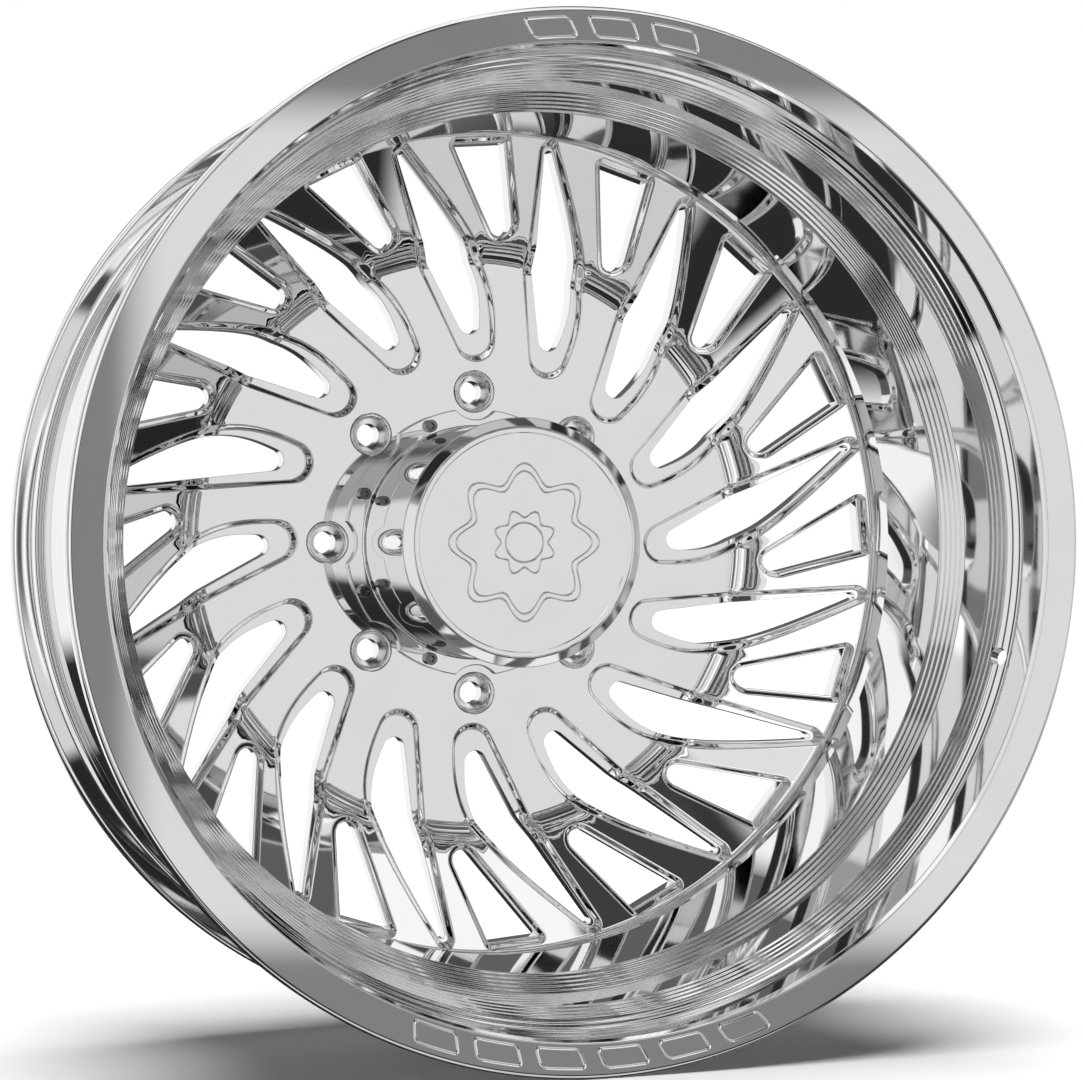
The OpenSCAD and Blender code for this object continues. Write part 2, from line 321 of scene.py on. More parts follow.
bright = dict(dark=(0.84, 0.845, 0.85, 1), light=(0.91, 0.912, 0.915, 1), markLong=7.0, markFine=260.0,
              markRough=0.0, markAll=0.0, markHeight=0.0, hazeHeight=4e-6, cutDeep=5e-4)
finishes = {
    "barrel": dict(bright, rough=0.03, hazeRough=0.02, markRough=0.04, hazeScale=14.0, markHeight=4e-6,
                   markAll=0.01),
    "disc": dict(bright, rough=0.025, hazeRough=0.02, hazeScale=18.0, markAll=0.008),
    "cap": dict(bright, rough=0.03, hazeRough=0.02, hazeScale=25.0, markAll=0.02),
    "lid": dict(bright, rough=0.04, hazeRough=0.03, hazeScale=30.0, markAll=0.02),
    "seat": dict(bright, rough=0.16, hazeRough=0.06, hazeScale=60.0, markAll=0.03,
                 dark=(0.88, 0.885, 0.89, 1), light=(0.95, 0.95, 0.955, 1)),
    "screw": dict(bright, rough=0.10, hazeRough=0.08, hazeScale=180.0, markAll=0.05, hazeHeight=2e-5,
                  dark=(0.13, 0.13, 0.134, 1), light=(0.27, 0.27, 0.275, 1)),
    "weld": dict(bright, rough=0.34, hazeRough=0.25, hazeScale=120.0, markAll=0.1, hazeHeight=3e-4,
                 dark=(0.36, 0.36, 0.37, 1), light=(0.62, 0.62, 0.63, 1)),
}
cutOf = {"barrel": "lip", "lid": "lid"}
metals = {kind: polishedMetal(kind + "Metal", finish, cutOf.get(kind))
          for kind, finish in finishes.items()}


def sealRubber():
    # dull black rubber with a fine grain
    mat = bpy.data.materials.new("sealRubber")
    tree = Tree(mat)
    place = tree.node("ShaderNodeTexCoord", output=3)
    grain = tree.node("ShaderNodeTexNoise", None,
                      {"Vector": place, "Scale": 700.0, "Detail": 3.0, "Roughness": 0.6})
    tint = tree.node("ShaderNodeMix", {"data_type": "RGBA"},
                     {0: grain, 6: (0.012, 0.012, 0.013, 1), 7: (0.035, 0.035, 0.036, 1)}, output=2)
    bump = tree.node("ShaderNodeBump", None, {"Strength": 0.2, "Distance": 0.0001, "Height": grain})
    shader = tree.node("ShaderNodeBsdfPrincipled", None,
                       {"Base Color": tint, "Roughness": 0.45 + grain * 0.2, "Normal": bump})
    tree.node("ShaderNodeOutputMaterial", None, [shader])
    return mat


print("stage: materials made")

# barrel
barrelShape = {
    "beadR": 307.2, "wallR": 274.5, "shoulderT": 113.0, "flange": 13.0,
    "cols": 384, "steps": 4, "ridgePitch": 3.9, "ridgeHeight": 0.085,
    "ridged": ((27, 28), (29, 30), (30, 31)),     # the stretches of the path that are ridged
}

# the valve's hole: how far from it cells go, how far along its axis it reaches, and the search
# for its two ends
holeShape = {"cols": 48, "spare": 0.6, "reach": 14.0, "step": 0.1, "halvings": 12}


def insideOf(points, loop, ends=None):
    # even-odd rule for many points against one closed outline, or against loose edges
    x, y = points[:, :1], points[:, 1:]
    a, b = loop[None, :, :], (np.roll(loop, -1, axis=0) if ends is None else ends)[None, :, :]
    spans = (a[..., 1] > y) != (b[..., 1] > y)
    rise = np.where(np.abs(b[..., 1] - a[..., 1]) < 1e-12, 1e-12, b[..., 1] - a[..., 1])
    cross = a[..., 0] + (y - a[..., 1]) * (b[..., 0] - a[..., 0]) / rise
    return ((spans & (x < cross)).sum(axis=1) % 2).astype(bool)


def pierce(verts, quads, norms, path, pathN, s):
    # opens the valve's hole. The cells it touches go, the lines p + w axis of the hole's wall
    # are cut where they enter and leave the profile, and triangles join the two ends to the rest
    hole = next(m for m in frame["record"]["mounts"] if m["name"] == "valve_hole")
    centre, radius = np.array(hole["pos_m"]), hole["dims"]["r_mm"]
    axis = np.array(hole["axis"]) / np.linalg.norm(hole["axis"])
    side = np.cross(axis, [0, 0, 1.0])
    side /= np.linalg.norm(side)
    other = np.cross(axis, side)
    away = (verts - centre) / mm
    flat, deep = np.stack([away @ side, away @ other], axis=1), away @ axis
    a, b = flat[quads], flat[np.roll(quads, -1, axis=1)]
    part = np.clip(-(a * (b - a)).sum(axis=2) / np.maximum(((b - a) ** 2).sum(axis=2), 1e-9), 0, 1)
    gap = np.linalg.norm(a + part[..., None] * (b - a), axis=2)
    best = gap.argmin(axis=1)[:, None]
    depth = deep[quads] + part * (deep[np.roll(quads, -1, axis=1)] - deep[quads])
    depth = np.take_along_axis(depth, best, axis=1)[:, 0]
    gone = (gap.min(axis=1) < radius + s["spare"]) & (np.abs(depth) < s["reach"])
    angle = np.arange(s["cols"]) * 2 * np.pi / s["cols"]
    radial = np.cos(angle)[:, None] * side + np.sin(angle)[:, None] * other

    def profileAt(w):
        place = centre + (radial[:, None] * radius + w[..., None] * axis) * mm
        return place, np.stack([np.hypot(place[..., 0], place[..., 2]), -place[..., 1]], axis=-1) / mm

    def within(w):
        return insideOf(profileAt(w)[1].reshape(-1, 2), path).reshape(w.shape)

    line = np.arange(-s["reach"], s["reach"], s["step"])
    solid = within(np.tile(line, (s["cols"], 1)))
    addV, addN, tris, count = [verts], [norms], [], len(verts)
    ring = np.arange(s["cols"])
    circle = radius * np.stack([np.cos(angle), np.sin(angle)], axis=1)
    enter, leave = solid.argmax(axis=1), len(line) - 1 - solid[:, ::-1].argmax(axis=1)
    for way, first in ((-1, enter), (1, leave)):
        full, empty = line[first][:, None], line[first][:, None] + way * s["step"]
        for _ in range(s["halvings"]):
            half = (full + empty) / 2
            isIn = within(half)
            full, empty = np.where(isIn, half, full), np.where(isIn, empty, half)
        place, profile = profileAt(full)
        near = np.linalg.norm(profile - path[None, :, :], axis=2).argmin(axis=1)
        spot = place[:, 0]
        outward = spot * [1, 0, 1] / np.hypot(spot[:, 0], spot[:, 2])[:, None]
        slope = outward * pathN[near, :1] - pathN[near, 1:] * [0, 1, 0]
        cells = quads[gone & (depth * way > 0)]
        edges = np.stack([cells, np.roll(cells, -1, axis=1)], axis=2).reshape(-1, 2)
        _, index, uses = np.unique(np.sort(edges, axis=1), axis=0, return_index=True, return_counts=True)
        rim = edges[index[uses == 1]]
        ids, local = np.unique(rim, return_inverse=True)
        local = local.reshape(-1, 2)
        flatPoints = np.concatenate([flat[ids], circle])
        links = np.concatenate([local, np.stack([ring, np.roll(ring, -1)], axis=1) + len(ids)])
        made = delaunay_2d_cdt([Vector(p) for p in flatPoints.tolist()], links.tolist(), [], 0, 1e-7)
        source = np.array([same[0] for same in made[3]])
        faces = source[np.array(made[2])]
        middle = flatPoints[faces].mean(axis=1)
        faces = faces[insideOf(middle, flat[rim[:, 0]], flat[rim[:, 1]]) & ~insideOf(middle, circle)]
        where = np.concatenate([ids, count + ring])
        tris.append(where[faces])
        addV += [spot, spot]
        addN += [slope, -radial]
        count += 2 * s["cols"]
    low, high = count - 3 * s["cols"] + ring, count - s["cols"] + ring
    wall = np.stack([low, np.roll(low, -1), np.roll(high, -1), high], axis=1)
    return (np.concatenate(addV), [np.concatenate([quads[~gone], wall]), np.concatenate(tris)],
            np.concatenate(addN))


def makeBarrel(s):
    # the rim's section turned about the axle: flange, bead seat, well and bead seat outside,
    # then back inside over the ring's seat, the dish and the lip
    f, lip, rear = flangeR, lipT, rearT
    bead, wall, shoulder, edge = s["beadR"], s["wallR"], s["shoulderT"], s["flange"]
    corners = [
        (f - 22, lip, 1.2), (f, lip, 3.5), (f, lip - edge, 3.5), (bead + 0.3, lip - edge, 6),
        (bead - 1.2, lip - 32.5, 1.5), (bead - 0.4, lip - 34.5, 1), (bead - 0.4, lip - 37, 1.5),
        (bead - 3.6, lip - 40.5, 2), (wall + 20, lip - 58, 9), (wall + 17.5, lip - 81, 8),
        (wall + 10.5, lip - 97, 10), (wall + 10.5, shoulder + 14, 12), (wall + 13.5, shoulder + 5, 8),
        (wall + 24, shoulder - 13, 6), (bead - 3.6, rear + edge + 27.5, 2),
        (bead - 0.4, rear + edge + 24, 1.5), (bead - 0.4, rear + edge + 21.5, 1),
        (bead - 1.2, rear + edge + 19.5, 1.5), (bead + 0.3, rear + edge, 6), (f, rear + edge, 3.5),
        (f, rear, 3.5), (f - 21.5, rear, 2), (f - 25.5, rear + 15, 8), (wall + 13.5, shoulder - 33, 1.5),
        (wall + 7.5, shoulder - 29, 0.5), (wall + 7.5, shoulder, 0.3), (wall - 0.9, shoulder, 0.5),
        (wall, lip - 97, 2.0), (wall + 11.1, lip - 81, 1.6), (wall + 13, lip - 50.4, 1.6),
        (wall + 19.4, lip - 37.3, 1.2), (f - 24.5, lip - 29, 2.0), (f - 24, lip - 3, 1.5)]
    steps = s["steps"]
    points, normals = roundedPath(corners, steps=steps)
    pathP, pathN, turnedHere, at = [], [], [], 0
    for a, b in s["ridged"]:
        low, high = a * (steps + 1) + steps, b * (steps + 1)
        newP, newN = ridges(points[low], points[high], normals[low], s["ridgePitch"], s["ridgeHeight"])
        pathP += [points[at:low + 1], newP]
        pathN += [normals[at:low + 1], newN]
        turnedHere += [np.zeros(low + 1 - at), np.ones(len(newP))]
        at = high
    pathP.append(points[at:])
    pathN.append(normals[at:])
    turnedHere.append(np.zeros(len(points) - at))
    path, pathNormals = np.concatenate(pathP), np.concatenate(pathN)
    verts, quads, norms = turned(path, pathNormals, s["cols"])
    verts, faces, norms = pierce(verts, quads, norms, path, pathNormals, holeShape)
    piece, kept = addSurface("barrelShell", verts, outwards(verts, faces, norms), norms)
    mark = piece.data.attributes.new("turned", "FLOAT", "POINT")
    values = np.zeros(len(verts))
    values[:len(path) * s["cols"]] = np.repeat(np.concatenate(turnedHere), s["cols"])
    mark.data.foreach_set("value", values[kept].astype(np.float32))
    return piece


dress(makeBarrel(barrelShape), "wheel", metals["barrel"], "barrel_polish", "barrel")
print("stage: barrel made")

# centre disc
discShape = {
    "windows": 16, "boreR": 77.1, "padT": 22.0, "padR": 195.5, "stepRise": 16.0, "slopeR": 209.5,
    "slopeAngle": 32.0, "ringR": 278.0, "seatR": 282.0, "shoulderT": 113.0, "mountR": 134.0,
    "ledge": 4.6, "bevel": 4.4, "outside": 0.8, "bend": 0.3, "innerCols": 360, "outerCols": 720,
    "tip": (140.6, -1.0, 14.3), "end": (260.8, 67.8, 6.8), "pull": 55.0, "push": 80.0,
    "holeTip": (153.0, 2.3, 7.6), "holeEnd": (259.6, 66.3, 2.5), "holePull": 40.0, "holePush": 78.0,
    "small": ((219.7, -13.6, 11.6), (271.2, -5.2, 4.5), (268.4, 29.5, 4.3)), "smallIn": 4.2,
    "lugR": 105.0, "lugs": 8, "lugHole": 14.9, "lugBack": 12.1, "lugStepT": 8.0, "lugCols": 48,
    "wallRound": 0.45, "chamfer": 1.1, "clear": 0.9, "thick": 18.0, "underIn": 10.0, "foot": (1.0, 51.0),
    "rings": (96, 112, 128, 144, 160, 176, 188), "slopeStep": 7.0,     # where the front has points
    "backRings": ((105, 120), (225, 240, 255)), "seatDepth": 33.0,
}


def arcPoints(centre, radius, start, stop, count):
    # centre + radius (cos a, sin a), with a from start to stop in degrees
    a = np.radians(np.linspace(start, stop, count))
    return np.stack([centre[0] + radius * np.cos(a), centre[1] + radius * np.sin(a)], axis=1)


def longOutline(tip, end, pull, push):
    # anticlockwise: small outer arc, nearly straight leading side, round inner tip, and a
    # cubic curve for the bulging trailing side
    d = np.hypot(end[0] - tip[0], end[1] - tip[1])
    lead = math.degrees(math.atan2(end[1] - tip[1], end[0] - tip[0])
                        - math.asin((tip[2] - end[2]) / d))
    outer = arcPoints(end, end[2], -41, lead + 90, 13)
    inner = arcPoints(tip, tip[2], lead + 90, 265, 20)
    k = np.linspace(0, 1, 26)[1:-1, None]
    side = outer[-1] * (1 - k) + inner[0] * k
    p, e = inner[-1], outer[0]
    q = p + pull * np.array([1, -0.05])
    s = e - push * np.array([math.cos(math.radians(49)), math.sin(math.radians(49))])
    k = np.linspace(0, 1, 36)[1:-1, None]
    curve = (1 - k) ** 3 * p + 3 * k * (1 - k) ** 2 * q + 3 * k * k * (1 - k) * s + k ** 3 * e
    return np.concatenate([outer, side, inner, curve])


def smallOutline(corners, shrink):
    # anticlockwise: three round corners joined by straight sides
    c = np.array(corners)
    c[:, 2] -= shrink
    last, following = np.roll(c, 1, axis=0), np.roll(c, -1, axis=0)

    def sideAngle(a, b):
        d = np.hypot(b[:, 0] - a[:, 0], b[:, 1] - a[:, 1])
        return (np.degrees(np.arctan2(b[:, 1] - a[:, 1], b[:, 0] - a[:, 0])) - 90
                + np.degrees(np.arcsin((a[:, 2] - b[:, 2]) / d)))

    start, stop = sideAngle(last, c), sideAngle(c, following)
    stop = np.where(stop < start, stop + 360, stop)
    arcs = [arcPoints(c[i], c[i, 2], start[i], stop[i], 12) for i in range(3)]
    k = np.linspace(0, 1, 10)[1:-1, None]
    parts = []
    for i in range(3):
        parts += [arcs[i], arcs[i][-1] * (1 - k) + arcs[(i + 1) % 3][0] * k]
    return np.concatenate(parts)


def turnedBy(points, degrees):
    # x cos - y sin and x sin + y cos
    c, s = math.cos(math.radians(degrees)), math.sin(math.radians(degrees))
    return np.stack([points[..., 0] * c - points[..., 1] * s,
                     points[..., 0] * s + points[..., 1] * c], axis=-1)


def discFront(s):
    # the front's profile from the bore to the top of the fillet under the ring's wall
    tan = math.tan(math.radians(s["slopeAngle"]))
    foot = s["padT"] + s["stepRise"]
    corners = [(s["boreR"], s["padT"], 0), (s["padR"] - 0.8, s["padT"], 0.8),
               (s["padR"] + 0.4, s["padT"] + 1.6, 0.5), (s["padR"] + 3.2, s["padT"] + 2.4, 0.8),
               (s["padR"] + 8.6, s["padT"] + 9.4, 0.8), (s["padR"] + 9.8, s["padT"] + 12.2, 0.5),
               (s["slopeR"], foot, 3.0),
               (s["ringR"], foot + (s["ringR"] - s["slopeR"]) * tan, 7.0),
               (s["ringR"], s["shoulderT"] - 4, 0)]
    return roundedPath(corners, closed=False, steps=8)


def makeDisc(s):
    # two pierced sheets, t = front(r) and t = back(r), joined by the windows' walls, the lug
    # holes, the bore and the ring that the barrel sits on
    path, pathN = discFront(s)
    tan = math.tan(math.radians(s["slopeAngle"]))
    n = s["windows"]
    pitch = 360 / n
    # the part of the profile that is a function of r
    joinR = s["ringR"] - 0.5
    flat = path[:, 0] <= joinR + 1e-6
    fr, ft, fn = path[flat, 0], path[flat, 1], pathN[flat]
    joinT = np.interp(joinR, path[:len(fr) + 1, 0], path[:len(fr) + 1, 1])
    joinN = fn[-1]
    fr, ft = np.append(fr, joinR), np.append(ft, joinT)
    fn = np.concatenate([fn, [joinN]])

    def frontT(r):
        return np.interp(r, fr, ft)

    def frontN(r):
        nr, nt = np.interp(r, fr, fn[:, 0]), np.interp(r, fr, fn[:, 1])
        length = np.hypot(nr, nt)
        return nr / length, nt / length

    def ledgeT(r):
        step = s["padT"] + s["stepRise"] + (r - s["slopeR"]) * tan
        low = np.interp(r, [s["padR"], s["slopeR"]], [s["padT"], s["padT"] + s["stepRise"]])
        return np.where(r > s["slopeR"], step, low) - s["ledge"]

    footR, footT = s["ringR"] + s["foot"][0], s["shoulderT"] - s["foot"][1]
    underR = s["ringR"] - s["underIn"]
    underT = s["padT"] + s["stepRise"] + (underR - s["slopeR"]) * tan - s["thick"]
    backR = [s["boreR"], s["mountR"] - 2, s["mountR"], s["mountR"] + 3, s["padR"] + 1,
             s["slopeR"] + 2, underR, footR - 4.5]
    backT = [0, 0, 0.3, 2.5, 2.5, s["padT"] - 2, underT,
             np.interp(footR - 4.5, [underR, footR], [underT, footT])]

    def back(r):
        return np.interp(r, backR, backT)

    def backN(r):
        e = 2.0
        slope = (back(r + e) - back(r - e)) / (2 * e)
        length = np.hypot(slope, 1)
        return slope / length, -1 / length

    # strips that line the windows, from the front round the bevel to the back
    pairs = [(longOutline(s["tip"], s["end"], s["pull"], s["push"]),
              longOutline(s["holeTip"], s["holeEnd"], s["holePull"], s["holePush"])),
             (smallOutline(s["small"], 0), smallOutline(s["small"], s["smallIn"]))]
    allVerts, allFaces, allNormals, count = [], [], [], 0
    frontLoops, keepOut, backLoops = [], [], []
    for outer, inner in pairs:
        gap = np.linalg.norm(inner - outer, axis=1)[:, None]
        way = (inner - outer) / gap
        width = np.minimum(s["bevel"], gap - 0.5)
        # a straight slope, rounded where it leaves the front and where it meets the ledge
        bend, peak = s["bend"], 1 / (1 - s["bend"])
        k = np.concatenate([np.linspace(0, bend, 5), [0.5], np.linspace(1 - bend, 1, 5)])
        rows, rise = [], []
        for v in k:
            rows.append(outer + way * (-s["outside"] + (width + s["outside"]) * v))
            near = min(v, 1 - v)
            part = peak * near * near / (2 * bend) if near < bend else peak * (near - bend / 2)
            rise.append(part if v <= 0.5 else 1 - part)
        wallRound, chamfer = s["wallRound"], s["chamfer"]
        rows.append(inner - way * wallRound)
        rise.append(1)
        xy = np.stack(rows)
        r = np.linalg.norm(xy, axis=2)
        w = np.array(rise)[:, None]
        t = frontT(r) * (1 - w) + np.minimum(ledgeT(r), frontT(r)) * w
        # rounded edge, straight wall, and a chamfer at the back
        edge = np.radians([30, 60, 90])
        wallRows = [inner - way * wallRound * (1 - math.sin(a)) for a in edge]
        topT = t[-1]
        wallT = [topT - wallRound * (1 - math.cos(a)) for a in edge]
        behind = inner - way * chamfer
        bottomT = back(np.linalg.norm(behind, axis=1))
        mid = (wallT[-1] + bottomT + chamfer) / 2
        wallRows += [inner, inner, inner - way * 0.4, behind]
        wallT += [mid, bottomT + chamfer, bottomT + 0.3, bottomT]
        xy = np.concatenate([xy, np.stack(wallRows)])
        t = np.concatenate([t, np.stack(wallT)])
        rows, cols = t.shape
        points = np.concatenate([xy, t[..., None]], axis=2)
        across = np.gradient(points, axis=0)
        around = (np.roll(points, -1, axis=1) - np.roll(points, 1, axis=1)) / 2
        norm = np.cross(across, around)
        norm /= np.maximum(np.linalg.norm(norm, axis=2), 1e-9)[..., None]
        if norm[0, :, 2].mean() < 0:
            norm = -norm
        r0 = np.linalg.norm(xy[0], axis=1)
        nr, nt = frontN(r0)
        norm[0] = np.concatenate([xy[0] / r0[:, None] * nr[:, None], nt[:, None]], axis=1)
        r1 = np.linalg.norm(xy[-1], axis=1)
        nr, nt = backN(r1)
        norm[-1] = np.concatenate([xy[-1] / r1[:, None] * nr[:, None], nt[:, None]], axis=1)
        for i in range(n):
            place = turnedBy(xy, i * pitch)
            direction = turnedBy(norm[..., :2], i * pitch)
            allVerts.append(toRow(place[..., 0], place[..., 1], t).reshape(-1, 3))
            allNormals.append(np.stack([direction[..., 0], -norm[..., 2], direction[..., 1]],
                                       axis=-1).reshape(-1, 3))
            allFaces.append(gridQuads(rows, cols, start=count))
            count += rows * cols
        frontLoops.append(xy[0])
        keepOut.append(outer - way * (s["outside"] + s["clear"]))
        backLoops.append(xy[-1])

    lugAngle = np.arange(s["lugs"]) * 2 * np.pi / s["lugs"]
    lugCentres = s["lugR"] * np.stack([np.cos(lugAngle), np.sin(lugAngle)], axis=1)

    def lugCircle(radius):
        a = np.arange(s["lugCols"]) * 2 * np.pi / s["lugCols"]
        return radius * np.stack([np.cos(a), np.sin(a)], axis=1)

    def byLug(points, radius):
        return (np.linalg.norm(points[:, None, :] - lugCentres, axis=2) < radius).any(axis=1)

    def sheet(radii, counts, loops, avoid, lugRadius, height, normal):
        # a pierced sheet: points on rings and on the outlines, joined by a constrained
        # Delaunay triangulation, with the triangles inside the windows left out
        rings, edges, at = [], [], 0
        for i, (radius, number) in enumerate(zip(radii, counts)):
            a = (np.arange(number) + 0.5 * (i % 2)) * 2 * np.pi / number
            if i in (0, len(radii) - 1):
                a = np.arange(number) * 2 * np.pi / number
            ring = np.stack([radius * np.cos(a), radius * np.sin(a)], axis=1)
            if i in (0, len(radii) - 1):
                edges.append(np.stack([at + np.arange(number), at + (np.arange(number) + 1) % number], 1))
            else:
                fold = np.degrees(np.arctan2(ring[:, 1], ring[:, 0])) % pitch
                length = np.linalg.norm(ring, axis=1)
                near = np.zeros(number, dtype=bool)
                for turn in (-1, 0, 1):
                    b = np.radians(fold + turn * pitch)
                    p = np.stack([length * np.cos(b), length * np.sin(b)], axis=1)
                    for loop in avoid:
                        near |= insideOf(p, loop)
                ring = ring[~near & ~byLug(ring, lugRadius + 1.5)]
            rings.append(ring)
            at += len(ring)
        for loop in loops:
            m = len(loop)
            for i in range(n):
                rings.append(turnedBy(loop, i * pitch))
                edges.append(np.stack([at + np.arange(m), at + (np.arange(m) + 1) % m], 1))
                at += m
        for centre in lugCentres:
            rings.append(lugCircle(lugRadius) + centre)
            m = s["lugCols"]
            edges.append(np.stack([at + np.arange(m), at + (np.arange(m) + 1) % m], 1))
            at += m
        flatPoints = np.concatenate(rings)
        edges = np.concatenate(edges)
        made = delaunay_2d_cdt([Vector(p) for p in flatPoints.tolist()], edges.tolist(), [], 0, 1e-7)
        p = np.array([flatPoints[same[0]] if same else tuple(v) for v, same in zip(made[0], made[3])])
        tris = np.array(made[2])
        mid = p[tris].mean(axis=1)
        length = np.linalg.norm(mid, axis=1)
        fold = np.degrees(np.arctan2(mid[:, 1], mid[:, 0])) % pitch
        drop = (length < radii[0]) | (length > radii[-1]) | byLug(mid, lugRadius)
        for turn in (-1, 0, 1):
            b = np.radians(fold + turn * pitch)
            q = np.stack([length * np.cos(b), length * np.sin(b)], axis=1)
            for loop in loops:
                drop |= insideOf(q, loop)
        tris = tris[~drop]
        r = np.linalg.norm(p, axis=1)
        nr, nt = normal(r)
        norms = np.stack([p[:, 0] / r * nr, -nt, p[:, 1] / r * nr], axis=-1)
        return toRow(p[:, 0], p[:, 1], height(r)), tris, norms

    fine = fr[(fr > s["padR"] - 3)]
    fine = fine[np.concatenate([[True], np.diff(fine) > 0.12])]
    slope = np.arange(s["slopeR"] + 6, s["ringR"] - 7, s["slopeStep"])
    radii = np.concatenate([[s["boreR"]], s["rings"], fine, slope, [joinR]])
    radii = np.unique(np.round(radii, 4))
    radii = radii[np.concatenate([[True], np.diff(radii) > 0.1])]
    radii[-1] = joinR
    counts = [s["innerCols"] if v <= s["rings"][-1] else s["outerCols"] for v in radii]
    fv, ftris, fnorm = sheet(radii, counts, frontLoops, keepOut, s["lugHole"], frontT, frontN)
    near, far = s["backRings"]
    inside, beyond = [*backR[:1], *near, *backR[1:-2]], [*far, *backR[-2:]]
    counts = [s["innerCols"]] * len(inside) + [s["outerCols"]] * len(beyond)
    bv, btris, bnorm = sheet(np.array(inside + beyond), counts, backLoops, backLoops,
                             s["lugBack"], back, backN)
    # the ring: its wall, its edge under the barrel's shoulder, its seat and its back
    ringPath = [(joinR, joinT, 0), (s["ringR"], joinT + 1.5, 0.3), (s["ringR"], joinT + 6, 4),
                (s["ringR"] - 1.8, s["shoulderT"], 0.8), (s["seatR"], s["shoulderT"], 0.6),
                (s["seatR"], s["shoulderT"] - s["seatDepth"], 1.0),
                (s["seatR"] - 1.2, s["shoulderT"] - s["seatDepth"] - 4, 1.0),
                (footR, footT, 2.0), (backR[-1], backT[-1], 0)]
    rp, rn = roundedPath(ringPath, closed=False, steps=6)
    rn[0] = joinN
    nr, nt = backN(np.array([backR[-1] - 3.0]))
    rn[-1] = [nr[0], nt[0]]
    boreP = np.array([[s["boreR"], s["padT"]], [s["boreR"], s["padT"] / 2], [s["boreR"], 0.0]])
    boreN = np.array([[-1.0, 0.0]] * 3)
    allVerts += [fv, bv]
    allNormals += [fnorm, bnorm]
    tris = [ftris + count, btris + count + len(fv)]
    count += len(fv) + len(bv)
    hole, behind, stepT = s["lugHole"], s["lugBack"], s["lugStepT"]
    lugP = np.array([[hole, s["padT"]], [hole, 15.0], [hole, stepT], [hole, stepT], [behind, stepT],
                     [behind, stepT], [behind, 4.0], [behind, 0.0]])
    lugN = np.array([[-1, 0]] * 3 + [[0, 1]] * 2 + [[-1, 0]] * 3, dtype=float)
    laths = [(rp, rn, s["outerCols"], (0, 0)), (boreP, boreN, s["innerCols"], (0, 0))]
    laths += [(lugP, lugN, s["lugCols"], centre) for centre in lugCentres]
    for p, nn, cols, centre in laths:
        v, q, norms = turned(p, nn, cols, closed=False, centre=centre)
        allVerts.append(v)
        allNormals.append(norms)
        allFaces.append(q + count)
        count += len(v)
    verts, normals = np.concatenate(allVerts), np.concatenate(allNormals)
    faces = [np.concatenate(allFaces), np.concatenate(tris)]
    faces = outwards(verts, faces, normals)
    return addSurface("discForging", verts, faces, normals)[0]


dress(makeDisc(discShape), "wheel", metals["disc"], "disc_polish", "centre_disc")
print("stage: centre disc made")

# lug seats
seatShape = {
    "pitchR": 105.0, "cols": 72,
    "corners": ((7.75, 0.5, 0.3), (12.0, 0.5, 0.3), (12.0, 8.0, 0.1), (14.5, 8.0, 0.3),
                (14.5, 22.5, 0.8), (13.6, 23.3, 0.8), (12.5, 22.9, 0.7), (12.3, 21.4, 0.5),
                (11.2, 20.4, 0.6), (7.75, 13.6, 0.8)),
}


def makeSeat(s, number):
    # the corners' profile turned about the seat's own axis
    points, normals = roundedPath(s["corners"], steps=5)
    a = (number - 1) * math.pi / 4
    verts, quads, norms = turned(points, normals, s["cols"],
                                 centre=(s["pitchR"] * math.cos(a), s["pitchR"] * math.sin(a)))
    return addSurface("lugSeatShell" + str(number), verts, outwards(verts, [quads], norms), norms)[0]


for number in range(1, 9):
    dress(makeSeat(seatShape, number), "wheel", metals["seat"], "seat_steel", "lug_seat_" + str(number))

# cap body
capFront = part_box("cap_body")[0][1]
capShape = {
    "tubeIn": 78.2, "tubeR": 79.8, "padT": 22.0, "topT": -capFront / mm, "baseT": 26.0, "baseR": 93.0,
    "filletR": 82.4, "lugR": 105.0, "scallopR": 19.5, "round": 0.7,
    "cols": 720,    # so that columns fall on the cusps of the base's edge
}


